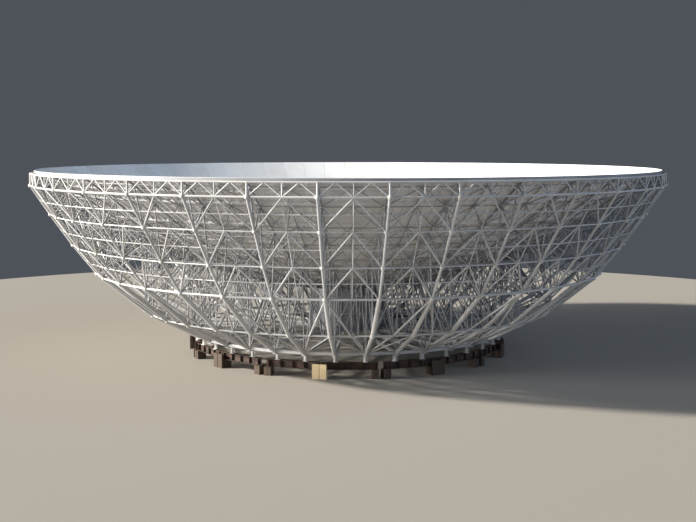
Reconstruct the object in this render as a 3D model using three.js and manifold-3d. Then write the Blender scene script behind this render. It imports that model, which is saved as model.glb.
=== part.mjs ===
// A 40 m class radio telescope reflector, resting face up on its assembly beams.
// Flat radial ribs stand on a central hub drum and carry the reflector's panels on their upper chords.
// A lattice of hoops and diagonal bars wraps the ribs' lower chords, and its flat bottom stands on steel beams
// laid on timber blocks. Millimetres, +Z up, origin on the ground under the reflector's axis.
import * as THREE from "three";
import { mergeVertices } from "three/addons/utils/BufferGeometryUtils.js";
import Module from "manifold-3d";

const wasm = await Module();
wasm.setup();

// Reflector
const RIM_RADIUS = 19600;
const RIM_HEIGHT = 11750;
const FOCAL_LENGTH = 13000;
const PANEL_DEPTH = 160;
const INNER_EDGE_RADIUS = 2460;
const PANEL_ROW_RADII = [5000, 7700, 10400, 13000, 15500, 17900];

// The reflector comes in an inner and an outer ring of sectors that meet at this row's edge
const RING_JOINT_RADIUS = 10400;
const INNER_SECTORS = 4;
const OUTER_SECTORS = 9;

// Ribs: every second one is a full truss here, and stands on the base hoop's supported nodes
const RIB_COUNT = 36;
const MAIN_RIB_COUNT = RIB_COUNT / 2;
const RIB_THICKNESS = 140;
const CHORD_WIDTH = 200;
const WEB_WIDTH = 120;

// Lower chord, as radius and drop below the rim at each hoop, from the rim inwards,
// with the bracing between that hoop and the one above it
const LOWER_CHORD = [
  { name: "edge hoop", radius: 19770, drop: 900, bracing: "open" },
  { name: "second hoop", radius: 18640, drop: 2630, bracing: "gable" },
  { name: "third hoop", radius: 17360, drop: 4520, bracing: "gable" },
  { name: "fourth hoop", radius: 15970, drop: 6310, bracing: "gable" },
  { name: "fifth hoop", radius: 13070, drop: 8700, bracing: "zigzagTop" },
  { name: "base hoop", radius: 10160, drop: 10220, bracing: "zigzagFoot" },
  { name: "inner hoop", radius: 6200, drop: 10220, bracing: "open" },
];

// Lattice that wraps the lower chords
const LATTICE_SECTORS = 9;
const LATTICE_THICKNESS = 100;
const HOOP_WIDTH = 150;
const CHORD_STRIP_WIDTH = 220;
const DIAGONAL_WIDTH = 120;
const RIM_TUBE_RADIUS = 19770;
const RIM_TUBE_DROP = 200;

// Hub
const HUB_RADIUS = 2400;
const HUB_WALL = 120;
const FLANGE_WIDTH = 420;
const FLANGE_THICKNESS = 90;
const FLANGE_RISE = 140;

// Supports under the base hoop: two beams each, held in a tall block at the middle, on a low block at each end
const SUPPORT_COUNT = MAIN_RIB_COUNT / 2;
const SUPPORT_RADIUS = 9960;
const MIDDLE_BLOCK = { length: 850, width: 750, height: 850 };
const END_BLOCK = { length: 420, width: 600, height: 510 };
const BEAM = { width: 300, height: 430, overhang: 160 };
const BEAM_END_ANGLE = THREE.MathUtils.degToRad(18.2);
const FOOT_POST = { length: 300, width: 260 };

// Each support's middle stands a little beside a rib, and its beams carry the feet of the next rib on each side
const SUPPORT_SHIFT_ANGLE = THREE.MathUtils.degToRad(-5);

// Clearance between touching pieces
const SEAT_GAP = 0.3;
const SECTOR_GAP_ANGLE = 1e-4;

// Unevenness below which neighbouring triangles are joined
const FLATNESS = 0.02;

const BAY_ANGLE = (2 * Math.PI) / RIB_COUNT;
const FIRST_RIB_ANGLE = -Math.PI / 2;

const materials = {
  panel: new THREE.MeshStandardMaterial({ color: 0xf2f3f2, roughness: 0.5, metalness: 0.1 }),
  rib: new THREE.MeshStandardMaterial({ color: 0xdcdcd6, roughness: 0.5, metalness: 0.2 }),
  lattice: new THREE.MeshStandardMaterial({ color: 0xe4e4de, roughness: 0.5, metalness: 0.2 }),
  hub: new THREE.MeshStandardMaterial({ color: 0xd8d8d2, roughness: 0.45, metalness: 0.3 }),
  support: new THREE.MeshStandardMaterial({ color: 0x8a6a4a, roughness: 0.8, metalness: 0.3 }),
};

const ribAngle = (index) => FIRST_RIB_ANGLE + index * BAY_ANGLE;
const reflectorHeight = (radius) =>
  RIM_HEIGHT - (RIM_RADIUS ** 2 - radius ** 2) / (4 * FOCAL_LENGTH);

// Solids for joins and cuts

function asSolid(geometry) {
  const bare = geometry.clone();
  bare.deleteAttribute("normal");
  bare.deleteAttribute("uv");
  const merged = mergeVertices(bare);
  return new wasm.Manifold(new wasm.Mesh({
    numProp: 3,
    vertProperties: merged.attributes.position.array,
    triVerts: new Uint32Array(merged.index.array),
  }));
}

function asGeometry(solid) {
  const mesh = solid.asOriginal().simplify(FLATNESS).getMesh();
  const geometry = new THREE.BufferGeometry();
  geometry.setAttribute("position", new THREE.BufferAttribute(mesh.vertProperties, 3));
  geometry.setIndex(new THREE.BufferAttribute(mesh.triVerts, 1));
  const faceted = geometry.toNonIndexed();
  faceted.computeVertexNormals();
  return faceted;
}

// Plane geometry of the flat pieces

// The line through a and b, moved by distance to its left.
function shiftedLine(a, b, distance) {
  const along = new THREE.Vector2().subVectors(b, a).normalize();
  const left = new THREE.Vector2(-along.y, along.x);
  return { point: a.clone().addScaledVector(left, distance), along };
}

// Where two lines meet, or the second line's start where they run in one direction.
function crossing(first, second) {
  const turn = first.along.cross(second.along);
  if (Math.abs(turn) < 1e-6) return second.point.clone();
  const gap = new THREE.Vector2().subVectors(second.point, first.point);
  const share = gap.cross(second.along) / turn;
  return first.point.clone().addScaledVector(first.along, share);
}

// A convex polygon, anticlockwise, with each side moved inwards by its own distance.
function insetPolygon(corners, distances) {
  const sides = corners.map((corner, i) =>
    shiftedLine(corner, corners[(i + 1) % corners.length], distances[i]));
  return sides.map((side, i) => crossing(sides[(i + sides.length - 1) % sides.length], side));
}

// An open chain of points moved to its left, with mitred corners.
function offsetChain(points, distance) {
  const lines = points.slice(1).map((point, i) => shiftedLine(points[i], point, distance));
  const last = lines[lines.length - 1];
  const span = points[points.length - 1].distanceTo(points[points.length - 2]);
  const moved = [lines[0].point];
  for (let i = 1; i < lines.length; i += 1) {
    moved.push(crossing(lines[i - 1], lines[i]));
  }
  moved.push(last.point.clone().addScaledVector(last.along, span));
  return moved;
}

// Rib

const panelRadii = [INNER_EDGE_RADIUS, ...PANEL_ROW_RADII, RIM_RADIUS];
const lowerNodes = LOWER_CHORD.map((hoop) => new THREE.Vector2(hoop.radius, RIM_HEIGHT - hoop.drop));
const rimTubeNode = new THREE.Vector2(RIM_TUBE_RADIUS, RIM_HEIGHT - RIM_TUBE_DROP);

// Height of the panels' underside on a rib's line, which runs straight from row to row.
function undersideHeight(radius) {
  const row = Math.max(1, panelRadii.findIndex((edge) => edge >= radius));
  const [inner, outer] = [panelRadii[row - 1], panelRadii[row]];
  const share = (radius - inner) / (outer - inner);
  return THREE.MathUtils.lerp(reflectorHeight(inner), reflectorHeight(outer), share) - PANEL_DEPTH;
}

// The web's triangles join these stations: the hub end first, then outwards.
function ribStations() {
  const hubPost = HUB_RADIUS + SEAT_GAP + CHORD_WIDTH / 2;
  const lower = [new THREE.Vector2(hubPost, lowerNodes[lowerNodes.length - 1].y), ...lowerNodes.slice().reverse()];
  const upperRadii = [hubPost, ...PANEL_ROW_RADII, RIM_RADIUS - CHORD_WIDTH / 2];
  const upper = upperRadii.map((radius) =>
    new THREE.Vector2(radius, undersideHeight(radius) - SEAT_GAP - CHORD_WIDTH / 2));
  return { lower, upper };
}

// Which chord the web's next triangle stands on: U adds an upper station, L a lower one.
const WEB_STEPS = "ULULULULULULUL";

// Corners of each web triangle, running anticlockwise.
function webTriangles(lower, upper) {
  const triangles = [];
  let low = 0;
  let high = 0;
  for (const step of WEB_STEPS) {
    if (step === "U") {
      triangles.push({ corners: [lower[low], upper[high + 1], upper[high]], chordSide: 1 });
      high += 1;
    } else {
      triangles.push({ corners: [lower[low], lower[low + 1], upper[high]], chordSide: 0 });
      low += 1;
    }
  }
  return triangles;
}

// A flat plate in the x-z plane, centred on y = 0, with its outline given as radius and height.
function uprightPlate(points, thickness) {
  const geometry = new THREE.ExtrudeGeometry(new THREE.Shape(points), { depth: thickness, bevelEnabled: false });
  geometry.rotateX(Math.PI / 2);
  geometry.translate(0, thickness / 2, 0);
  return asSolid(geometry);
}

function ribGeometry() {
  const { lower, upper } = ribStations();
  const lowerEdge = offsetChain([...lower, rimTubeNode], -CHORD_WIDTH / 2);
  lowerEdge[0].x = HUB_RADIUS + SEAT_GAP;
  const topRadii = [lowerEdge[0].x, ...PANEL_ROW_RADII, RIM_RADIUS];
  const upperEdge = topRadii.map((radius) => new THREE.Vector2(radius, undersideHeight(radius) - SEAT_GAP));
  let solid = uprightPlate([...lowerEdge, ...upperEdge.reverse()], RIB_THICKNESS);
  // The last triangle, at the rim, stays solid.
  const openTriangles = webTriangles(lower, upper).slice(0, -1);
  openTriangles.forEach(({ corners, chordSide }, i) => {
    const hubPostSide = i === 0 ? 2 : null;
    const distances = [0, 1, 2].map((side) =>
      (side === chordSide || side === hubPostSide ? CHORD_WIDTH : WEB_WIDTH) / 2);
    solid = solid.subtract(uprightPlate(insetPolygon(corners, distances), 2 * RIB_THICKNESS));
  });
  return asGeometry(solid);
}

// Closed surfaces made cell by cell

class Surface {
  constructor() {
    this.corners = [];
  }

  triangle(a, b, c) {
    for (const corner of [a, b, c]) {
      this.corners.push(corner.x, corner.y, corner.z);
    }
  }

  quad(a, b, c, d) {
    this.triangle(a, b, c);
    this.triangle(a, c, d);
  }

  geometry() {
    const made = new THREE.BufferGeometry();
    made.setAttribute("position", new THREE.Float32BufferAttribute(this.corners, 3));
    made.computeVertexNormals();
    return made;
  }
}

const onRib = (radius, height, angle) => new THREE.Vector3(radius * Math.cos(angle), radius * Math.sin(angle), height);

// Lower lattice

// Radius and height of the lattice's skin at each hoop: side 0 lies against the ribs, side 1 faces out.
function latticeProfiles() {
  const seat = CHORD_WIDTH / 2 + (RIB_THICKNESS / 2) * Math.tan(BAY_ANGLE / 2) + SEAT_GAP;
  const chain = [rimTubeNode, ...lowerNodes];
  return [seat, seat + LATTICE_THICKNESS].map((distance) => offsetChain(chain, distance));
}

// Openings between the bars of one cell, each as corners given by their shares of the way across and down it.
// The zigzag runs from the fourth hoop's even ribs, here on the left, to the base hoop's odd ones.
const CELL_OPENINGS = {
  open: [[[0, 0], [1, 0], [1, 1], [0, 1]]],
  gable: [[[0, 0], [0.5, 0], [0, 1]], [[0.5, 0], [1, 0], [1, 1]], [[0.5, 0], [1, 1], [0, 1]]],
  zigzagTop: [[[0, 0], [0.5, 1], [0, 1]], [[0, 0], [1, 0], [1, 1], [0.5, 1]]],
  zigzagFoot: [[[0, 0], [0.5, 0], [1, 1]], [[0.5, 0], [1, 0], [1, 1]], [[0, 0], [1, 1], [0, 1]]],
};

function barWidth([acrossA, downA], [acrossB, downB]) {
  if (downA === downB) return HOOP_WIDTH;
  if (acrossA === acrossB && acrossA !== 0.5) return CHORD_STRIP_WIDTH;
  return DIAGONAL_WIDTH;
}

// The outlines to cut from a cell, across and down its outer face from the middle of its top.
function cellOutlines(level, bay, widthTop, widthBottom, height) {
  const mirrored = bay % 2 !== 0;
  return CELL_OPENINGS[LOWER_CHORD[level].bracing].map((opening) => {
    const shares = mirrored ? opening.map(([across, down]) => [1 - across, down]).reverse() : opening;
    const corners = shares.map(([across, down]) =>
      new THREE.Vector2((across - 0.5) * THREE.MathUtils.lerp(widthTop, widthBottom, down), down * height));
    const distances = shares.map((corner, i) => barWidth(corner, shares[(i + 1) % shares.length]) / 2);
    return insetPolygon(corners, distances);
  });
}

// The four corners of a cell of the skin, seen from outside: top left, top right, bottom right, bottom left.
function cellCorners(profile, level, leftAngle, rightAngle) {
  const [above, below] = [profile[level], profile[level + 1]];
  return [
    onRib(above.x, above.y, leftAngle),
    onRib(above.x, above.y, rightAngle),
    onRib(below.x, below.y, rightAngle),
    onRib(below.x, below.y, leftAngle),
  ];
}

// The skin before its openings are cut.
function latticeSkin(profiles, angles) {
  const surface = new Surface();
  const levels = profiles[0].length - 1;
  for (let bay = 0; bay < angles.length - 1; bay += 1) {
    for (let level = 0; level < levels; level += 1) {
      const [inner, outer] = profiles.map((profile) => cellCorners(profile, level, angles[bay], angles[bay + 1]));
      surface.quad(outer[0], outer[3], outer[2], outer[1]);
      surface.quad(inner[0], inner[1], inner[2], inner[3]);
      if (level === 0) surface.quad(outer[0], outer[1], inner[1], inner[0]);
      if (level === levels - 1) surface.quad(outer[2], outer[3], inner[3], inner[2]);
      if (bay === 0) surface.quad(outer[3], outer[0], inner[0], inner[3]);
      if (bay === angles.length - 2) surface.quad(outer[1], outer[2], inner[2], inner[1]);
    }
  }
  return asSolid(surface.geometry());
}

// A prism that cuts one opening of a cell: its outline is across and down the cell's outer face.
function openingPrism(corners, outline) {
  const topMiddle = corners[0].clone().lerp(corners[1], 0.5);
  const bottomMiddle = corners[3].clone().lerp(corners[2], 0.5);
  const across = corners[1].clone().sub(corners[0]).normalize();
  const down = bottomMiddle.sub(topMiddle).normalize();
  const inwards = across.clone().cross(down);
  const geometry = new THREE.ExtrudeGeometry(new THREE.Shape(outline), { depth: 3 * LATTICE_THICKNESS, bevelEnabled: false });
  geometry.translate(0, 0, -LATTICE_THICKNESS);
  geometry.applyMatrix4(new THREE.Matrix4().makeBasis(across, down, inwards).setPosition(topMiddle));
  return asSolid(geometry);
}

function latticeSector(firstRib, bayCount) {
  const profiles = latticeProfiles();
  const angles = Array.from({ length: bayCount + 1 }, (unused, i) => ribAngle(firstRib + i));
  angles[0] += SECTOR_GAP_ANGLE;
  angles[bayCount] -= SECTOR_GAP_ANGLE;
  let solid = latticeSkin(profiles, angles);
  for (let bay = 0; bay < bayCount; bay += 1) {
    for (let level = 0; level < profiles[1].length - 1; level += 1) {
      const corners = cellCorners(profiles[1], level, angles[bay], angles[bay + 1]);
      const widthTop = corners[0].distanceTo(corners[1]);
      const widthBottom = corners[3].distanceTo(corners[2]);
      const height = corners[0].clone().lerp(corners[1], 0.5).distanceTo(corners[3].clone().lerp(corners[2], 0.5));
      for (const outline of cellOutlines(level, firstRib + bay, widthTop, widthBottom, height)) {
        solid = solid.subtract(openingPrism(corners, outline));
      }
    }
  }
  return asGeometry(solid);
}

// Reflector

// One sector of a ring of panels, from the -Y axis on, with two facets to a bay.
function reflectorSector(rowRadii, bayCount) {
  const facets = bayCount * 2;
  const surface = new Surface();
  const last = rowRadii.length - 1;
  const place = (row, facet, drop) => {
    const trim = facet === 0 ? SECTOR_GAP_ANGLE : facet === facets ? -SECTOR_GAP_ANGLE : 0;
    return onRib(rowRadii[row], reflectorHeight(rowRadii[row]) - drop, ribAngle(facet / 2) + trim);
  };
  const face = (a, b, c, d) => surface.quad(place(...a), place(...b), place(...c), place(...d));
  for (let facet = 0; facet < facets; facet += 1) {
    for (let row = 0; row < last; row += 1) {
      face([row, facet, 0], [row + 1, facet, 0], [row + 1, facet + 1, 0], [row, facet + 1, 0]);
      face([row, facet, PANEL_DEPTH], [row, facet + 1, PANEL_DEPTH],
        [row + 1, facet + 1, PANEL_DEPTH], [row + 1, facet, PANEL_DEPTH]);
    }
    face([last, facet, 0], [last, facet, PANEL_DEPTH], [last, facet + 1, PANEL_DEPTH], [last, facet + 1, 0]);
    face([0, facet + 1, 0], [0, facet + 1, PANEL_DEPTH], [0, facet, PANEL_DEPTH], [0, facet, 0]);
  }
  for (let row = 0; row < last; row += 1) {
    face([row, 0, 0], [row, 0, PANEL_DEPTH], [row + 1, 0, PANEL_DEPTH], [row + 1, 0, 0]);
    face([row + 1, facets, 0], [row + 1, facets, PANEL_DEPTH], [row, facets, PANEL_DEPTH], [row, facets, 0]);
  }
  return surface.geometry();
}

// Hub

const hubBottom = lowerNodes[lowerNodes.length - 1].y - CHORD_WIDTH / 2;
const hubTop = reflectorHeight(INNER_EDGE_RADIUS) + FLANGE_RISE;

function ringGeometry(innerRadius, outerRadius, bottom, top) {
  const profile = [
    new THREE.Vector2(innerRadius, bottom),
    new THREE.Vector2(outerRadius, bottom),
    new THREE.Vector2(outerRadius, top),
    new THREE.Vector2(innerRadius, top),
    new THREE.Vector2(innerRadius, bottom),
  ];
  const geometry = new THREE.LatheGeometry(profile, RIB_COUNT);
  geometry.rotateX(Math.PI / 2);
  return geometry;
}

// One support about the +X axis, with a beam on each side that carries one main rib's foot.
// A beam lies square to the ray halfway along it, so its radius at any other ray follows from the angle between.
function supportGeometry() {
  const baseLevel = LOWER_CHORD.findIndex((hoop) => hoop.name === "base hoop") + 1;
  const postTop = latticeProfiles()[1][baseLevel].y - SEAT_GAP;
  const beamTop = END_BLOCK.height + BEAM.height;
  const boxAt = (place, turn, length, width, bottom, top) => {
    const geometry = new THREE.BoxGeometry(length, width, top - bottom);
    geometry.rotateZ(turn);
    geometry.translate(place.x, place.y, (top + bottom) / 2);
    return asSolid(geometry);
  };
  const middle = onRib(SUPPORT_RADIUS, 0, 0);
  let solid = boxAt(middle, Math.PI / 2, MIDDLE_BLOCK.length, MIDDLE_BLOCK.width, 0, MIDDLE_BLOCK.height);
  for (const side of [-1, 1]) {
    const end = onRib(SUPPORT_RADIUS, 0, side * BEAM_END_ANGLE);
    const centre = middle.clone().lerp(end, 0.5);
    const footAngle = side * BAY_ANGLE - SUPPORT_SHIFT_ANGLE;
    const halfAngle = (side * BEAM_END_ANGLE) / 2;
    const footRadius = (SUPPORT_RADIUS * Math.cos(halfAngle)) / Math.cos(footAngle - halfAngle);
    const foot = onRib(footRadius, 0, footAngle);
    const turn = Math.atan2(end.y - middle.y, end.x - middle.x);
    const length = middle.distanceTo(end) + 2 * BEAM.overhang;
    solid = solid.add(boxAt(centre, turn, length, BEAM.width, END_BLOCK.height, beamTop));
    solid = solid.add(boxAt(foot, turn, FOOT_POST.length, FOOT_POST.width, beamTop, postTop));
    solid = solid.add(boxAt(end, turn, END_BLOCK.length, END_BLOCK.width, 0, END_BLOCK.height));
  }
  return asGeometry(solid);
}

// Assembly

const telescope = new THREE.Group();

function addMesh(name, geometry, material) {
  const mesh = new THREE.Mesh(geometry, material);
  mesh.name = name;
  telescope.add(mesh);
  return mesh;
}

const numbered = (name, index, count) => `${name}_${String(index + 1).padStart(String(count).length, "0")}`;

function addReflectorRing(name, rowRadii, count) {
  const bays = RIB_COUNT / count;
  const shared = reflectorSector(rowRadii, bays);
  for (let i = 0; i < count; i += 1) {
    const sector = addMesh(numbered(name, i, count), shared, materials.panel);
    sector.rotation.z = i * bays * BAY_ANGLE;
  }
}

const sharedRib = ribGeometry();
for (let i = 0; i < MAIN_RIB_COUNT; i += 1) {
  const rib = addMesh(numbered("main_rib", i, MAIN_RIB_COUNT), sharedRib, materials.rib);
  rib.rotation.z = ribAngle(2 * i + 1);
}

const latticeBays = RIB_COUNT / LATTICE_SECTORS;
const sharedLattice = latticeSector(0, latticeBays);
for (let i = 0; i < LATTICE_SECTORS; i += 1) {
  const lattice = addMesh(numbered("lower_lattice", i, LATTICE_SECTORS), sharedLattice, materials.lattice);
  lattice.rotation.z = i * latticeBays * BAY_ANGLE;
}

const jointRow = panelRadii.indexOf(RING_JOINT_RADIUS);
const innerRadii = panelRadii.slice(0, jointRow + 1);
const outerRadii = [RING_JOINT_RADIUS + SEAT_GAP, ...panelRadii.slice(jointRow + 1)];
addReflectorRing("inner_reflector", innerRadii, INNER_SECTORS);
addReflectorRing("outer_reflector", outerRadii, OUTER_SECTORS);

addMesh("hub_drum", ringGeometry(HUB_RADIUS - HUB_WALL, HUB_RADIUS, hubBottom, hubTop), materials.hub);
addMesh("hub_flange",
  ringGeometry(HUB_RADIUS - FLANGE_WIDTH, HUB_RADIUS, hubTop + SEAT_GAP, hubTop + SEAT_GAP + FLANGE_THICKNESS),
  materials.hub);

const sharedSupport = supportGeometry();
for (let i = 0; i < SUPPORT_COUNT; i += 1) {
  const support = addMesh(numbered("support", i, SUPPORT_COUNT), sharedSupport, materials.support);
  support.rotation.z = ribAngle(4 * i) + SUPPORT_SHIFT_ANGLE;
}

export default telescope;
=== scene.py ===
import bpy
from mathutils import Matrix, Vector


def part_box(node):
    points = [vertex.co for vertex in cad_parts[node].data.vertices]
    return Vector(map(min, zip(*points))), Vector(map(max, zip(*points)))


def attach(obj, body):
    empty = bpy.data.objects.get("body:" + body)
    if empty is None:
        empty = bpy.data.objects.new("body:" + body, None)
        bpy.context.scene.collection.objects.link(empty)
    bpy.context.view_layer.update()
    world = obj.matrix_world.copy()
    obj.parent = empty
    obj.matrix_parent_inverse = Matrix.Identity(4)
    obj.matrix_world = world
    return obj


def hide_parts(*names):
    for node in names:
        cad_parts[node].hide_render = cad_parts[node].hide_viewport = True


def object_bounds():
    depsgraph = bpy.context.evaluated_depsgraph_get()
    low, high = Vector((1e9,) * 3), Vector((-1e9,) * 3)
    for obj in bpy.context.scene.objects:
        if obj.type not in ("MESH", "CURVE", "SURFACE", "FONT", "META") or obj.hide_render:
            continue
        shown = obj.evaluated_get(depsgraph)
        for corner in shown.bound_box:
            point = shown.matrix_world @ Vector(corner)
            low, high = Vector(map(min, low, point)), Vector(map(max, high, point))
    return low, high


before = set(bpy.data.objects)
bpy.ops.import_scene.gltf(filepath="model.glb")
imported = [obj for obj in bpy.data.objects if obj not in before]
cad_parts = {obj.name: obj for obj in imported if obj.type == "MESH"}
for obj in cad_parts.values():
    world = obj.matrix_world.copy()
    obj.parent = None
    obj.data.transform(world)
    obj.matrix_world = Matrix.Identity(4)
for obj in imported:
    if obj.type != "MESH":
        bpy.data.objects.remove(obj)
CAD_BOUNDS = [list(corner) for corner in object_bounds()]

import math
import random

import bmesh
import bpy
from mathutils import Vector

# A 40 m class radio telescope reflector lying face up on timber and steel supports.
# Metres, +Z up, origin on the ground under the reflector's axis, ribs counted from -Y towards +X.

# Reflector, from the solids' boxes
RIM_RADIUS = -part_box("outer_reflector_1")[0][1]
RIM_HEIGHT = CAD_BOUNDS[1][2]
FOCAL_LENGTH = 13.0
INNER_PANEL_ROWS = [2.46, 4.4, 6.4, 8.4, 10.4]
OUTER_PANEL_ROWS = [10.4, 12.4, 14.3, 16.1, 17.9, RIM_RADIUS]
INNER_SECTORS = 4
OUTER_SECTORS = 9
PANEL_JOINT = 0.014
PANEL_STEPS = 3
PANEL_SHARP_ANGLE = 30
SHEET_THICKNESS = 0.012
PANEL_FRAME = {"width": 0.035, "top": 0.012, "bottom": 0.13}

# Ribs and hoops, with the lower chord as radius and drop below the rim at each hoop
RIB_COUNT = 36
BAY_ANGLE = 2 * math.pi / RIB_COUNT
FIRST_RIB_ANGLE = -math.pi / 2
LATTICE_SECTORS = 9
LOWER_CHORD = [(19.75, 0.20), (19.75, 0.90), (18.64, 2.63), (17.36, 4.52), (15.97, 6.31),
               (13.07, 8.70), (10.16, 10.22), (6.2, 10.22), (2.5, 10.22)]
RIM, EDGE, SECOND, THIRD, FOURTH, FIFTH, BASE, INNER, HUB = range(9)
NODE_OFFSET = 0.08
UPPER_RADII = [2.48, 4.4, 6.4, 8.4, 10.4, 12.4, 14.3, 16.1, 17.9, 19.35]
UPPER_DROP = 0.26
WEB_RADII = [2.48, 5.0, 7.7, 10.4, 13.0, 15.5, 17.9, 19.35]

# Upper rows where purlins start up the half bays, crosses from the hoops end and lacing starts
HALF_BAY_FIRST_ROW = 1
CROSS_ROWS = {BASE: 4, FIFTH: 5, FOURTH: 7, THIRD: 8}
LACING_FIRST_ROW = 4

# Bar radii
CHORD = {"lower": 0.125, "outer": 0.075, "upper": 0.06}
WEB = {"post": 0.045, "purlin": 0.028, "cross": 0.024, "lacing": 0.03}
HOOP = {EDGE: 0.06, SECOND: 0.038, THIRD: 0.038, FOURTH: 0.065, FIFTH: 0.055, INNER: 0.055}
BRACE = {"main": 0.055, "gable": 0.045, "fine": 0.036, "strut": 0.028}

# Joint balls' radii
CHORD_JOINT = {"upper": 0.09, "lower": 0.14}
HOOP_JOINT = {EDGE: 0.125, SECOND: 0.125, THIRD: 0.125, FOURTH: 0.16, FIFTH: 0.16, INNER: 0.125}

# Sides of thin bars, bars, posts and the hub's and rim's rings
THIN_SIDES = 6
BAR_SIDES = 8
POST_SIDES = 12
HUB_SIDES = 96
RIM_SIDES = 144

# Base hoop and its feet, which stand just clear of the supports
BASE_HOOP = {"width": 0.2, "height": 0.16, "lift": 0.03, "overlap": 0.02}
FOOT = {"radius": 0.11, "plate": 0.3, "thickness": 0.024, "clearance": 0.002}

# Supports, as in the solids
SUPPORT_COUNT = 9
SUPPORT_RADIUS = 9.96
SUPPORT_SHIFT_ANGLE = math.radians(-5)
MIDDLE_BLOCK = {"width": 0.85, "depth": 0.75, "height": 0.85}
END_BLOCK = {"width": 0.42, "depth": 0.6, "height": 0.51}
BEAM = {"width": 0.3, "height": 0.43, "overhang": 0.16, "flange": 0.022, "half_web": 0.009,
        "stiffener": 0.014, "stiffener_gap": 0.01, "end_gap": 0.02}
BEAM_END_ANGLE = math.radians(18.2)
FOOT_POST = {"radius": 0.095, "length": 0.3, "width": 0.26, "plate": 0.025,
             "gusset_length": 0.27, "gusset_width": 0.02}
TIMBER_GAP = 0.006
UPRIGHT_GAP = 0.03
TIMBER_SHIFT = 0.02

# Floor, and suns as azimuth, elevation, strength, spread and colour
FLOOR_RADIUS = 50.0
FLOOR_SIDES = 144
SUNS = {
    "key_light": (84.0, 27.0, 7.5, 4.0, (1.0, 0.95, 0.86)),
    "left_fill": (76.0, 3.0, 4.9, 20.0, (1.0, 0.98, 0.95)),
    "front_fill": (-50.0, 10.0, 0.55, 60.0, (0.58, 0.74, 1.0)),
    "sky_fill": (-90.0, 32.0, 0.8, 60.0, (0.60, 0.77, 1.0)),
}

# Viewpoint, from the rim's centre
CAMERA_DISTANCE = 74.0
CAMERA_TURN = math.radians(4.2)
CAMERA_ABOVE_RIM = 1.8
CAMERA_LENS = 59.0
CAMERA_TARGET_HEIGHT = 5.7

# Places of the paints in the lists that tubes and panels are made with
# The third place holds the darker tube paint, painted shade on the ribs' upper chords and posts.
TUBE_PAINT, JOINT_PAINT, WEB_SHADE_PAINT = range(3)
FACE_PAINT, BACK_PAINT = range(2)

UP = Vector((0, 0, 1))
randomness = random.Random(7)


def on_rib(radius, height, angle):
    return Vector((radius * math.cos(angle), radius * math.sin(angle), height))


def rib_angle(index):
    return FIRST_RIB_ANGLE + index * BAY_ANGLE


def surface_height(radius):
    return RIM_HEIGHT - (RIM_RADIUS ** 2 - radius ** 2) / (4 * FOCAL_LENGTH)


def middle(a, b, share=0.5):
    return a.lerp(b, share)


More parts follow.
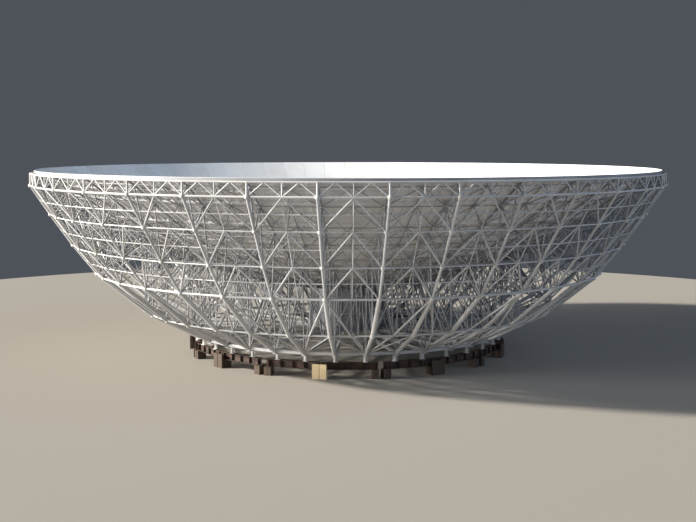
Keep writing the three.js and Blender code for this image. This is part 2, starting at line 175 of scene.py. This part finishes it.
class Shape:
    """The vertices and faces of one piece, with a paint and a tone for each face."""

    def __init__(self):
        self.points = []
        self.faces = []
        self.paints = []
        self.tones = []
        self.paint = 0
        self.tone = 0.5

    def add(self, points, faces, paints=None):
        start = len(self.points)
        self.points.extend(points)
        self.faces.extend([start + i for i in face] for face in faces)
        self.paints.extend(paints or [self.paint] * len(faces))
        self.tones.extend([self.tone] * len(faces))

    def sweep(self, frames, section, closed=False):
        """Carries a section, as (sideways, up) points, along frames of (origin, side, up)."""
        count = len(section)
        points = [origin + side * x + up * y for origin, side, up in frames for x, y in section]
        faces = []
        for k in range(len(frames) if closed else len(frames) - 1):
            here = k * count
            there = (k + 1) % len(frames) * count
            faces += [(here + i, here + (i + 1) % count, there + (i + 1) % count, there + i)
                      for i in range(count)]
        if not closed:
            faces.append(tuple(reversed(range(count))))
            faces.append(tuple(range(len(points) - count, len(points))))
        self.add(points, faces)

    def bar(self, a, b, radius, sides=BAR_SIDES):
        """A round tube from a to b."""
        along = (b - a).normalized()
        side = along.orthogonal().normalized()
        up = along.cross(side)
        turns = [2 * math.pi * i / sides for i in range(sides)]
        ring = [(radius * math.cos(turn), radius * math.sin(turn)) for turn in turns]
        self.sweep([(a, side, up), (b, side, up)], ring)

    def chain(self, nodes, radius):
        for a, b in zip(nodes, nodes[1:]):
            self.bar(a, b, radius)

    def ball(self, centre, radius, rings=5, segments=8):
        points = [centre + Vector((0, 0, -radius))]
        for k in range(1, rings):
            height = -radius * math.cos(math.pi * k / rings)
            width = radius * math.sin(math.pi * k / rings)
            for i in range(segments):
                turn = 2 * math.pi * i / segments
                points.append(centre + on_rib(width, height, turn))
        points.append(centre + Vector((0, 0, radius)))
        top = len(points) - 1
        faces = []
        for i in range(segments):
            j = (i + 1) % segments
            faces.append((0, 1 + j, 1 + i))
            for k in range(rings - 2):
                low = 1 + k * segments
                faces.append((low + i, low + j, low + segments + j, low + segments + i))
            last = 1 + (rings - 2) * segments
            faces.append((last + i, last + j, top))
        self.add(points, faces)

    def box(self, centre, length, width, height, along):
        """An upright block centred on a point, with its length along one direction."""
        side = along.cross(UP).normalized()
        half = along.normalized() * (length / 2)
        section = [(-width / 2, -height / 2), (width / 2, -height / 2),
                   (width / 2, height / 2), (-width / 2, height / 2)]
        self.sweep([(centre - half, side, UP), (centre + half, side, UP)], section)

    def ring(self, profile, segments):
        """A section turned about Z, as (radius, height) points."""
        turns = [2 * math.pi * i / segments for i in range(segments)]
        frames = [(Vector((0, 0, 0)), on_rib(1.0, 0.0, turn), UP) for turn in turns]
        self.sweep(frames, profile, closed=True)

    def make(self, name, materials, nodes=(), sharp_angle=60):
        """Turns the shape into a piece that rides on the part's body."""
        mesh = bpy.data.meshes.new(name)
        mesh.from_pydata([tuple(point) for point in self.points], [], self.faces)
        for material in materials:
            mesh.materials.append(material)
        mesh.polygons.foreach_set("material_index", self.paints)
        mesh.attributes.new("tone", "FLOAT", "FACE").data.foreach_set("value", self.tones)
        work = bmesh.new()
        work.from_mesh(mesh)
        bmesh.ops.recalc_face_normals(work, faces=work.faces)
        work.to_mesh(mesh)
        work.free()
        mesh.shade_smooth()
        mesh.set_sharp_from_angle(angle=math.radians(sharp_angle))
        piece = bpy.data.objects.new(name, mesh)
        bpy.context.scene.collection.objects.link(piece)
        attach(piece, "root")
        if nodes:
            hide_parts(*nodes)
        return piece


class Graph:
    """A node material under construction."""

    def __init__(self, name):
        self.material = bpy.data.materials.new(name)
        self.material.use_nodes = True
        self.nodes = self.material.node_tree.nodes
        self.shader = self.nodes["Principled BSDF"]
        self.place = self.node("ShaderNodeTexCoord").outputs["Object"]

    def node(self, kind, settings=None, inputs=None):
        made = self.nodes.new(kind)
        for key, value in (settings or {}).items():
            setattr(made, key, value)
        for key, value in (inputs or {}).items():
            self.feed(made.inputs[key], value)
        return made

    def feed(self, socket, value):
        if isinstance(value, bpy.types.NodeSocket):
            self.material.node_tree.links.new(value, socket)
        else:
            socket.default_value = value

    def stretched(self, scale):
        """The place with each axis multiplied."""
        made = self.node("ShaderNodeMapping", None, {"Vector": self.place, "Scale": scale})
        return made.outputs["Vector"]

    def noise(self, scale, detail=4.0, roughness=0.55, place=None):
        made = self.node("ShaderNodeTexNoise", None, {
            "Vector": place or self.place, "Scale": scale, "Detail": detail, "Roughness": roughness})
        return made.outputs["Fac"]

    def between(self, value, low, high, to_low=0.0, to_high=1.0):
        """The value spread from one range to another, and held at its ends."""
        made = self.node("ShaderNodeMapRange", {"clamp": True}, {
            "Value": value, "From Min": low, "From Max": high, "To Min": to_low, "To Max": to_high})
        return made.outputs["Result"]

    def mix(self, share, first, second):
        made = self.node("ShaderNodeMix", {"data_type": "RGBA"}, {0: share, 6: first, 7: second})
        return made.outputs[2]

    def tone(self):
        return self.node("ShaderNodeAttribute", {"attribute_name": "tone"}).outputs["Fac"]

    def bump(self, height, strength, distance):
        made = self.node("ShaderNodeBump", None, {
            "Height": height, "Strength": strength, "Distance": distance})
        self.feed(self.shader.inputs["Normal"], made.outputs["Normal"])

    def finish(self, colour, roughness):
        self.feed(self.shader.inputs["Base Color"], colour)
        self.feed(self.shader.inputs["Roughness"], roughness)
        self.shader.inputs["Metallic"].default_value = 0.0
        return self.material


def shade(red, green, blue):
    return (red, green, blue, 1.0)


DUST = shade(0.42, 0.39, 0.34)
RUST = shade(0.30, 0.16, 0.09)
STAIN = shade(0.50, 0.48, 0.43)
PRIMER = shade(0.035, 0.022, 0.018)
PRIMER_RUST = shade(0.10, 0.052, 0.032)


def painted_steel(name, clean, dusty, rust_share):
    """White paint on steel tube, with dust, rain streaks and a little rust."""
    graph = Graph(name)
    broad = graph.between(graph.noise(0.35, 3.0), 0.35, 0.65)
    tint = graph.mix(broad, clean, dusty)
    rain = graph.noise(1.0, 5.0, 0.6, graph.stretched((5.0, 5.0, 0.5)))
    tint = graph.mix(graph.between(rain, 0.52, 0.75, 0.0, 0.35), tint, DUST)
    spots = graph.between(graph.noise(2.2, 8.0, 0.7), 0.70 - rust_share, 0.78 - rust_share, 0.0, 0.75)
    tint = graph.mix(spots, tint, RUST)
    grain = graph.noise(30.0, 3.0)
    graph.bump(grain, 0.15, 0.004)
    return graph.finish(tint, graph.between(grain, 0.3, 0.7, 0.38, 0.6))


def panel_paint(name, light, dark, roughness):
    """Painted sheet whose tone changes a little from panel to panel."""
    graph = Graph(name)
    tint = graph.mix(graph.tone(), dark, light)
    stains = graph.between(graph.noise(0.5, 6.0, 0.6), 0.5, 0.78, 0.0, 0.3)
    tint = graph.mix(stains, tint, STAIN)
    fine = graph.noise(14.0, 4.0)
    graph.bump(graph.noise(1.2, 2.0), 0.1, 0.01)
    return graph.finish(tint, graph.between(fine, 0.3, 0.7, roughness - 0.06, roughness + 0.08))


def timber(name, pale, dark):
    """Rough sawn wood, its grain along the faces and darker in the cracks."""
    graph = Graph(name)
    grain = graph.noise(1.0, 8.0, 0.65, graph.stretched((9.0, 9.0, 45.0)))
    tint = graph.mix(graph.between(grain, 0.35, 0.7), dark, pale)
    tint = graph.mix(graph.between(graph.tone(), 0.0, 1.0, 0.0, 0.4), tint, dark)
    graph.bump(grain, 0.5, 0.006)
    return graph.finish(tint, graph.between(grain, 0.3, 0.7, 0.75, 0.9))


def rusty_steel(name):
    """Dark red-brown primer with rust breaking through."""
    graph = Graph(name)
    patches = graph.between(graph.noise(3.5, 8.0, 0.65), 0.42, 0.62)
    tint = graph.mix(patches, PRIMER, PRIMER_RUST)
    grain = graph.noise(60.0, 4.0)
    graph.bump(grain, 0.35, 0.003)
    return graph.finish(tint, graph.between(grain, 0.3, 0.7, 0.6, 0.85))


WHITE_STEEL = painted_steel("white_tube_paint", shade(0.57, 0.57, 0.57), shade(0.47, 0.47, 0.46), 0.0)
WORN_STEEL = painted_steel("worn_joint_paint", shade(0.64, 0.63, 0.60), shade(0.48, 0.465, 0.43), 0.05)
# Darker grey copy of the white tube paint: painted shade for the bars and parts under the reflector.
SHADED_INNER_STEEL = painted_steel("inner_tube_painted_shade", shade(0.34, 0.34, 0.35), shade(0.26, 0.26, 0.27), 0.02)
PANEL_FACE = panel_paint("panel_face_paint", shade(0.86, 0.87, 0.88), shade(0.80, 0.81, 0.82), 0.42)
PANEL_BACK = panel_paint("panel_back_paint", shade(0.84, 0.83, 0.83), shade(0.76, 0.75, 0.75), 0.6)
# Pale sawn wood, made lighter than the wood itself as painted sunlight on the block's grazing-lit
# face.
SUNLIT_PALE_TIMBER = timber("sunlit_pale_timber", shade(0.98, 0.84, 0.56), shade(0.70, 0.52, 0.28))
# Near-black timber: painted shade for the blocks and packers that stand in the reflector's shadow.
SHADED_DARK_TIMBER = timber("shaded_dark_timber", shade(0.13, 0.09, 0.06), shade(0.05, 0.033, 0.024))
BEAM_STEEL = rusty_steel("beam_steel")


def offset_chain(chain, distance):
    """A chain of (radius, height) points moved outwards of its way down, with mitred corners."""
    lines = []
    for (r0, z0), (r1, z1) in zip(chain, chain[1:]):
        length = math.hypot(r1 - r0, z1 - z0)
        outwards = (-(z1 - z0) / length, (r1 - r0) / length)
        lines.append(((r0 + outwards[0] * distance, z0 + outwards[1] * distance), outwards))
    moved = [lines[0][0]]
    for (_, first), (r1, z1), (_, second) in zip(lines, chain[1:], lines[1:]):
        sum_r = first[0] + second[0]
        sum_z = first[1] + second[1]
        scale = 2 * distance / (sum_r ** 2 + sum_z ** 2)
        moved.append((r1 + sum_r * scale, z1 + sum_z * scale))
    last_r, last_z = chain[-1]
    moved.append((last_r + lines[-1][1][0] * distance, last_z + lines[-1][1][1] * distance))
    return moved


LOWER_NODES = offset_chain([(radius, RIM_HEIGHT - drop) for radius, drop in LOWER_CHORD], NODE_OFFSET)
UPPER_NODES = [(radius, surface_height(radius) - UPPER_DROP) for radius in UPPER_RADII]
WEB_NODES = [(radius, surface_height(radius) - UPPER_DROP) for radius in WEB_RADII]


def lower(level, rib):
    return on_rib(*LOWER_NODES[level], rib_angle(rib))


def upper(row, rib):
    return on_rib(*UPPER_NODES[row], rib_angle(rib))


def web_top(index, rib):
    return on_rib(*WEB_NODES[index], rib_angle(rib))


def add_rib(shape, rib, hub_bays):
    """Chords with a zigzag web between them that leaves out some bays next to the hub."""
    low = [lower(level, rib) for level in range(HUB, RIM, -1)]
    high = [web_top(k, rib) for k in range(len(WEB_NODES))]
    knee = HUB - FOURTH
    shape.chain(low[hub_bays:knee + 1], CHORD["lower"])
    shape.chain(low[knee:], CHORD["outer"])
    # Upper chord and posts take the darker tube paint, as painted shade under the panels.
    shape.paint = WEB_SHADE_PAINT
    rows = [upper(row, rib) for row in range(len(UPPER_NODES))]
    shape.chain(rows + [lower(RIM, rib)], CHORD["upper"])
    shape.bar(low[hub_bays], high[hub_bays], WEB["post"])
    for k in range(hub_bays, len(low) - 1):
        shape.bar(low[k], high[k + 1], WEB["post"])
        shape.bar(low[k + 1], high[k + 1], WEB["post"])
    shape.paint = JOINT_PAINT
    for point in rows:
        shape.ball(point, CHORD_JOINT["upper"])
    for point in low[hub_bays:]:
        shape.ball(point, CHORD_JOINT["lower"])
    shape.paint = TUBE_PAINT


def build_ribs():
    """A main rib on every second line, and a rib without its bay next to the hub on the others."""
    paints = [WHITE_STEEL, WORN_STEEL, SHADED_INNER_STEEL]
    for i in range(RIB_COUNT // 2):
        main = Shape()
        add_rib(main, 2 * i + 1, 0)
        main.make("rib_tubes_%02d" % (i + 1), paints, ["main_rib_%02d" % (i + 1)])
        between = Shape()
        add_rib(between, 2 * i, 1)
        between.make("between_rib_tubes_%02d" % (i + 1), paints)


def add_rim_truss(shape, bay):
    """Rim frame: a post at each rib and half bay, and two small gables a bay."""
    top = [lower(RIM, bay), lower(RIM, bay + 1)]
    bottom = [lower(EDGE, bay), lower(EDGE, bay + 1)]
    shape.bar(*top, BRACE["main"])
    shape.bar(*bottom, HOOP[EDGE])
    shape.bar(top[0], bottom[0], BRACE["main"])
    shape.bar(middle(*top), middle(*bottom), BRACE["fine"])
    for start in (0.0, 0.5):
        apex = middle(*top, start + 0.25)
        shape.bar(middle(*bottom, start), apex, BRACE["fine"])
        shape.bar(apex, middle(*bottom, start + 0.5), BRACE["fine"])


def add_base_hoop(shape, bay):
    """A box beam between two feet, and a footing under the first of them."""
    lift = Vector((0, 0, BASE_HOOP["lift"]))
    a, b = lower(BASE, bay) + lift, lower(BASE, bay + 1) + lift
    length = (b - a).length + BASE_HOOP["overlap"]
    shape.box(middle(a, b), length, BASE_HOOP["width"], BASE_HOOP["height"], (b - a).normalized())
    foot = Vector((a.x, a.y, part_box("support_1")[1][2] + FOOT["clearance"]))
    shape.bar(foot, a, FOOT["radius"], POST_SIDES)
    plate_centre = foot + Vector((0, 0, FOOT["thickness"] / 2))
    outwards = on_rib(1.0, 0.0, rib_angle(bay))
    shape.box(plate_centre, FOOT["plate"], FOOT["plate"], FOOT["thickness"], outwards)


def add_lower_bracing(shape, bay):
    """Hoops with gables down to the fourth hoop, and long diagonals from there to the base feet."""
    for level in (SECOND, THIRD, FOURTH):
        apex = middle(lower(level - 1, bay), lower(level - 1, bay + 1))
        for rib in (bay, bay + 1):
            shape.bar(apex, lower(level, rib), BRACE["gable"])
        shape.bar(lower(level, bay), lower(level, bay + 1), HOOP[level])
        foot = middle(lower(level, bay), lower(level, bay + 1))
        shape.bar(apex, foot, BRACE["strut"], THIN_SIDES)
        halfway = [middle(lower(level - 1, rib), lower(level, rib)) for rib in (bay, bay + 1)]
        shape.bar(*halfway, BRACE["strut"], THIN_SIDES)
    foot, head = (bay + 1, bay) if bay % 2 == 0 else (bay, bay + 1)
    crossing = middle(lower(FIFTH, bay), lower(FIFTH, bay + 1))
    shape.bar(lower(FOURTH, head), crossing, BRACE["main"])
    shape.bar(crossing, lower(BASE, foot), BRACE["main"])
    shape.bar(lower(FIFTH, head), lower(BASE, foot), BRACE["fine"])
    shape.bar(lower(FIFTH, bay), lower(FIFTH, bay + 1), HOOP[FIFTH])
    add_base_hoop(shape, bay)
    shape.bar(lower(INNER, bay), lower(INNER, bay + 1), HOOP[INNER])
    shape.bar(lower(INNER, head), lower(BASE, foot), BRACE["fine"])
    shape.paint = JOINT_PAINT
    for level, radius in HOOP_JOINT.items():
        shape.ball(lower(level, bay), radius)
    shape.paint = TUBE_PAINT


def add_purlins(shape, bay):
    """Hoops under the panels, a purlin up each half bay, and crosses between them."""
    for row in range(len(UPPER_NODES)):
        shape.bar(upper(row, bay), upper(row, bay + 1), WEB["purlin"], THIN_SIDES)
        if row > HALF_BAY_FIRST_ROW:
            half = [middle(upper(k, bay), upper(k, bay + 1)) for k in (row - 1, row)]
            shape.bar(*half, WEB["purlin"], THIN_SIDES)
            shape.bar(upper(row - 1, bay), half[1], WEB["cross"], THIN_SIDES)
            shape.bar(upper(row - 1, bay + 1), half[1], WEB["cross"], THIN_SIDES)


def add_rib_bracing(shape, bay):
    """Crosses and middle bars between neighbouring ribs, and lacing up from the hoops' middles."""
    for level, row in CROSS_ROWS.items():
        shape.bar(lower(level, bay), upper(row, bay + 1), WEB["cross"], THIN_SIDES)
        shape.bar(lower(level, bay + 1), upper(row, bay), WEB["cross"], THIN_SIDES)
        depth = [middle(lower(level, rib), web_top(HUB + 1 - level, rib)) for rib in (bay, bay + 1)]
        shape.bar(*depth, WEB["purlin"], THIN_SIDES)
    feet = [middle(lower(level, bay), lower(level, bay + 1)) for level in range(FIFTH, RIM, -1)]
    rows = range(LACING_FIRST_ROW, len(UPPER_NODES))
    heads = [middle(upper(row, bay), upper(row, bay + 1)) for row in rows]
    for k, foot in enumerate(feet):
        shape.bar(foot, heads[k], WEB["lacing"], THIN_SIDES)
        shape.bar(foot, heads[k + 1], WEB["lacing"], THIN_SIDES)


def build_lattice():
    bays = RIB_COUNT // LATTICE_SECTORS
    for i in range(LATTICE_SECTORS):
        outer = Shape()
        inner = Shape()
        for bay in range(i * bays, (i + 1) * bays):
            add_rim_truss(outer, bay)
            add_lower_bracing(outer, bay)
            add_purlins(inner, bay)
            add_rib_bracing(inner, bay)
        outer.make("lattice_tubes_%d" % (i + 1), [WHITE_STEEL, WORN_STEEL],
                   ["lower_lattice_%d" % (i + 1)])
        # Purlins, crosses and lacing take the darker tube paint, as painted shade under the panels.
        inner.make("inner_bracing_%d" % (i + 1), [SHADED_INNER_STEEL])


def add_sheet(shape, inner, outer, angle_at):
    """A curved sheet between two radii, whose back has a paint of its own."""
    row = PANEL_STEPS + 1
    count = row ** 2

    def layer(drop):
        points = []
        for j in range(row):
            radius = inner + (outer - inner) * j / PANEL_STEPS
            height = surface_height(radius) - drop
            points += [on_rib(radius, height, angle_at(i / PANEL_STEPS, radius)) for i in range(row)]
        return points

    faces = []
    paints = []
    for j in range(PANEL_STEPS):
        for i in range(PANEL_STEPS):
            a = j * row + i
            faces.append((a, a + 1, a + row + 1, a + row))
            faces.append((count + a, count + a + row, count + a + row + 1, count + a + 1))
            paints += [FACE_PAINT, BACK_PAINT]
    border = list(range(row))
    border += [k * row + PANEL_STEPS for k in range(1, row)]
    border += [PANEL_STEPS * row + i for i in range(PANEL_STEPS - 1, -1, -1)]
    border += [k * row for k in range(PANEL_STEPS - 1, 0, -1)]
    for a, b in zip(border, border[1:] + border[:1]):
        faces.append((a, b, count + b, count + a))
        paints.append(FACE_PAINT)
    shape.add(layer(0.0) + layer(SHEET_THICKNESS), faces, paints)


def add_channels(shape, inner, outer, width_angle, angle_at):
    """A panel's frame: channels around it, two stiffeners between its ends and one across."""
    half = PANEL_FRAME["width"] / 2
    section = [(-half, -PANEL_FRAME["bottom"]), (half, -PANEL_FRAME["bottom"]),
               (half, -PANEL_FRAME["top"]), (-half, -PANEL_FRAME["top"])]

    def channel(places):
        path = [on_rib(radius, surface_height(radius), angle_at(share, radius))
                for share, radius in places]
        frames = []
        for k, here in enumerate(path):
            ahead = path[min(k + 1, len(path) - 1)] - path[max(k - 1, 0)]
            ahead.z = 0
            frames.append((here, ahead.cross(UP).normalized(), UP))
        shape.sweep(frames, section)

    steps = range(PANEL_STEPS + 1)
    inset = half / (outer - inner)
    across = half / (outer * width_angle)
    for share in (across, 1 / 3, 2 / 3, 1 - across):
        channel([(share, inner + (outer - inner) * (inset + (1 - 2 * inset) * j / PANEL_STEPS))
                 for j in steps])
    for share in (inset, 0.5, 1 - inset):
        radius = inner + (outer - inner) * share
        channel([(across + (1 - 2 * across) * i / PANEL_STEPS, radius) for i in steps])


def add_panel(shape, inner, outer, left, right):
    """One reflector panel: a curved sheet on a frame of channels."""
    joint = PANEL_JOINT / 2

    def angle_at(share, radius):
        trim = joint / radius
        return left + trim + (right - left - 2 * trim) * share

    add_sheet(shape, inner + joint, outer - joint, angle_at)
    shape.paint = BACK_PAINT
    add_channels(shape, inner + joint, outer - joint, right - left, angle_at)
    shape.paint = FACE_PAINT


def build_reflector_ring(name, node, rows, panels_round, sectors):
    width = 2 * math.pi / panels_round
    for sector in range(sectors):
        shape = Shape()
        start = FIRST_RIB_ANGLE + sector * 2 * math.pi / sectors
        for inner, outer in zip(rows, rows[1:]):
            for k in range(panels_round // sectors):
                shape.tone = randomness.random()
                left = start + k * width
                add_panel(shape, inner, outer, left, left + width)
        shape.make("%s_%d" % (name, sector + 1), [PANEL_FACE, PANEL_BACK],
                   ["%s_%d" % (node, sector + 1)], PANEL_SHARP_ANGLE)


def build_reflector():
    build_reflector_ring("inner_panels", "inner_reflector", INNER_PANEL_ROWS, RIB_COUNT,
                         INNER_SECTORS)
    build_reflector_ring("outer_panels", "outer_reflector", OUTER_PANEL_ROWS, 2 * RIB_COUNT,
                         OUTER_SECTORS)


def build_rim_band():
    """The thin angle that closes the outer panels' ends."""
    outside = RIM_RADIUS - 0.001
    inside = RIM_RADIUS - 0.012
    foot = RIM_RADIUS - 0.05
    top = RIM_HEIGHT - 0.02
    foot_top = RIM_HEIGHT - 0.15
    bottom = RIM_HEIGHT - 0.16
    shape = Shape()
    shape.ring([(foot, bottom), (outside, bottom), (outside, top),
                (inside, top), (inside, foot_top), (foot, foot_top)], RIM_SIDES)
    # The strip takes the darker tube paint, as painted shade below the rim.
    shape.make("rim_edge_strip", [SHADED_INNER_STEEL])


def build_hub_drum():
    """A thin drum with three hoops and upright stiffeners on its inside."""
    low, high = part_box("hub_drum")
    outside = high[0]
    bottom = low[2]
    top = high[2]
    centre_height = (bottom + top) / 2
    inside = outside - 0.05
    hoop_inside = outside - 0.12
    half_hoop = 0.02
    drum = Shape()
    drum.ring([(inside, bottom), (outside, bottom), (outside, top), (inside, top)], HUB_SIDES)
    for height in (bottom + 0.03, centre_height, top - 0.35):
        drum.ring([(hoop_inside, height - half_hoop), (inside, height - half_hoop),
                   (inside, height + half_hoop), (hoop_inside, height + half_hoop)], HUB_SIDES)
    stiffener_radius = outside - 0.085
    stiffener_depth = 0.07
    stiffener_thickness = 0.02
    stiffener_height = top - bottom - 0.08
    for i in range(RIB_COUNT):
        outwards = on_rib(1.0, 0.0, rib_angle(i))
        drum.box(outwards * stiffener_radius + UP * centre_height,
                 stiffener_depth, stiffener_thickness, stiffener_height, outwards)
    # The drum takes the darker tube paint, as painted shade under the reflector.
    drum.make("hub_drum_shell", [SHADED_INNER_STEEL], ["hub_drum"])


def build_hub_flange():
    """The ring on top of the drum, with its bolts."""
    low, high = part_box("hub_flange")
    outside = high[0]
    bottom = low[2]
    top = high[2]
    inside = 1.98
    bevel = 0.008
    bolt_circle = outside - 0.13
    bolt = 0.035
    bolt_count = 72
    flange = Shape()
    flange.ring([(inside, bottom), (outside, bottom), (outside, top - bevel), (outside - bevel, top),
                 (inside + bevel, top), (inside, top - bevel)], HUB_SIDES)
    flange.paint = JOINT_PAINT
    for i in range(bolt_count):
        seat = on_rib(bolt_circle, top, 2 * math.pi * (i + 0.5) / bolt_count)
        flange.bar(seat, seat + UP * bolt, bolt, THIN_SIDES)
    flange.make("hub_flange_ring", [WHITE_STEEL, WORN_STEEL], ["hub_flange"])


def add_sleepers(shape, centre, outwards, columns, rows, width, depth, height, gap=TIMBER_GAP):
    """A stack of squared timbers that point outwards, each a little off its place."""
    sideways = Vector((-outwards.y, outwards.x, 0))
    each = width / columns
    tall = height / rows
    for k in range(rows):
        for i in range(columns):
            shape.tone = randomness.random()
            shift = outwards * randomness.uniform(-TIMBER_SHIFT, 0.0)
            place = centre + sideways * ((i + 0.5) * each - width / 2) + UP * ((k + 0.5) * tall)
            shape.box(place + shift, depth - 2 * TIMBER_SHIFT, each - gap, tall - gap / 4, outwards)


def add_steel_beam(shape, a, b):
    """An I-section from a to b, which lie on its underside, with web stiffeners."""
    half = BEAM["width"] / 2
    height = BEAM["height"]
    flange = BEAM["flange"]
    web = BEAM["half_web"]
    along = (b - a).normalized()
    side = along.cross(UP)
    section = [(-half, 0), (half, 0), (half, flange), (web, flange), (web, height - flange),
               (half, height - flange), (half, height), (-half, height),
               (-half, height - flange), (-web, height - flange), (-web, flange), (-half, flange)]
    shape.sweep([(a, side, UP), (b, side, UP)], section)
    length = (b - a).length
    stiffener_width = half - web - BEAM["stiffener_gap"]
    for share in (0.06, 0.28, 0.5, 0.72, 0.94):
        for way in (-1, 1):
            sideways = side * (way * (half + web) / 2)
            centre = a + along * (length * share) + sideways + UP * (height / 2)
            shape.box(centre, BEAM["stiffener"], stiffener_width, height - 2 * flange, along)


def add_foot_post(shape, foot, bottom, top, along):
    """A round post between two plates, with a gusset on each side."""
    plate = FOOT_POST["plate"]
    for height in (bottom + plate / 2, top - plate / 2):
        shape.box(foot + UP * height, FOOT_POST["length"], FOOT_POST["width"], plate, along)
    shape.bar(foot + UP * bottom, foot + UP * top, FOOT_POST["radius"], POST_SIDES)
    centre = foot + UP * ((bottom + top) / 2)
    height = top - bottom - 2 * plate
    shape.box(centre, FOOT_POST["gusset_length"], FOOT_POST["gusset_width"], height, along)


def add_middle_block(shape, centre, outwards):
    """Low timbers under the beams, between two upright pairs that hold the beams from both sides."""
    width = MIDDLE_BLOCK["width"]
    depth = (MIDDLE_BLOCK["depth"] - BEAM["width"]) / 2
    for way in (-1, 1):
        place = centre + outwards * (way * (BEAM["width"] + depth) / 2)
        add_sleepers(shape, place, outwards, 2, 1, width, depth, MIDDLE_BLOCK["height"], UPRIGHT_GAP)
    add_sleepers(shape, centre, outwards, 2, 2, width, BEAM["width"], END_BLOCK["height"])


def build_supports():
    post_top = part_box("support_1")[1][2]
    beam_top = END_BLOCK["height"] + BEAM["height"]
    lift = Vector((0, 0, END_BLOCK["height"]))
    for i in range(SUPPORT_COUNT):
        turn = rib_angle(4 * i) + SUPPORT_SHIFT_ANGLE
        centre = on_rib(SUPPORT_RADIUS, 0.0, turn)
        blocks = Shape()
        add_middle_block(blocks, centre, on_rib(1.0, 0.0, turn))
        packers = Shape()
        beams = Shape()
        posts = Shape()
        for side in (-1, 1):
            half_angle = side * BEAM_END_ANGLE / 2
            end = on_rib(SUPPORT_RADIUS, 0.0, turn + side * BEAM_END_ANGLE)
            along = (end - centre).normalized()
            across = Vector((along.y, -along.x, 0))
            add_sleepers(packers, end, across, 2, 3, END_BLOCK["width"], END_BLOCK["depth"],
                         END_BLOCK["height"])
            beam_start = centre + along * BEAM["end_gap"] + lift
            beam_end = end + along * BEAM["overhang"] + lift
            add_steel_beam(beams, beam_start, beam_end)
            for bays in (0, 1) if side > 0 else (-1, -2):
                foot_angle = bays * BAY_ANGLE - SUPPORT_SHIFT_ANGLE
                beam_line = SUPPORT_RADIUS * math.cos(half_angle)
                foot_radius = beam_line / math.cos(foot_angle - half_angle)
                foot = on_rib(foot_radius, 0.0, turn + foot_angle)
                add_foot_post(posts, foot, beam_top, post_top, along)
        node = "support_%d" % (i + 1)
        # The first support's middle block is pale wood, brightened as painted light; the other blocks
        # and all packers are near black, as painted shade.
        wood = SUNLIT_PALE_TIMBER if i == 0 else SHADED_DARK_TIMBER
        blocks.make("middle_block_%d" % (i + 1), [wood], [node])
        packers.make("end_packers_%d" % (i + 1), [SHADED_DARK_TIMBER], [node])
        beams.make("steel_beams_%d" % (i + 1), [BEAM_STEEL], [node])
        posts.make("foot_posts_%d" % (i + 1), [WORN_STEEL], [node])


def build_floor():
    turns = [2 * math.pi * i / FLOOR_SIDES for i in range(FLOOR_SIDES)]
    edge = [tuple(on_rib(FLOOR_RADIUS, 0.0, turn)) for turn in turns]
    mesh = bpy.data.meshes.new("floor")
    mesh.from_pydata(edge, [], [tuple(range(FLOOR_SIDES))])
    floor = bpy.data.objects.new("floor", mesh)
    bpy.context.scene.collection.objects.link(floor)
    graph = Graph("pale_floor")
    mesh.materials.append(graph.finish(shade(0.32, 0.295, 0.26), 0.9))


def add_sun(name, azimuth, elevation, strength, spread, colour):
    """A sun whose light comes from an azimuth counted from the camera's side towards its left."""
    data = bpy.data.lights.new(name, "SUN")
    data.energy = strength
    data.angle = math.radians(spread)
    data.color = colour
    lamp = bpy.data.objects.new(name, data)
    turn = FIRST_RIB_ANGLE - math.radians(azimuth)
    source = on_rib(math.cos(math.radians(elevation)), math.sin(math.radians(elevation)), turn)
    lamp.rotation_euler = source.to_track_quat("Z", "Y").to_euler()
    bpy.context.scene.collection.objects.link(lamp)


def build_lights():
    world = bpy.data.worlds.new("studio")
    world.use_nodes = True
    background = world.node_tree.nodes["Background"]
    background.inputs["Color"].default_value = shade(0.60, 0.66, 0.78)
    background.inputs["Strength"].default_value = 0.13
    bpy.context.scene.world = world
    bpy.context.scene.view_settings.view_transform = "Standard"
    for name, sun in SUNS.items():
        add_sun(name, *sun)


def build_camera():
    data = bpy.data.cameras.new("camera")
    data.lens = CAMERA_LENS
    data.clip_end = 1000.0
    camera = bpy.data.objects.new("camera", data)
    turn = FIRST_RIB_ANGLE + CAMERA_TURN
    camera.location = on_rib(CAMERA_DISTANCE, RIM_HEIGHT + CAMERA_ABOVE_RIM, turn)
    target = Vector((0, 0, CAMERA_TARGET_HEIGHT))
    camera.rotation_euler = (target - camera.location).to_track_quat("-Z", "Y").to_euler()
    bpy.context.scene.collection.objects.link(camera)
    bpy.context.scene.camera = camera


build_camera()
build_lights()
build_floor()
build_reflector()
build_rim_band()
build_hub_drum()
build_hub_flange()
build_ribs()
build_lattice()
build_supports()
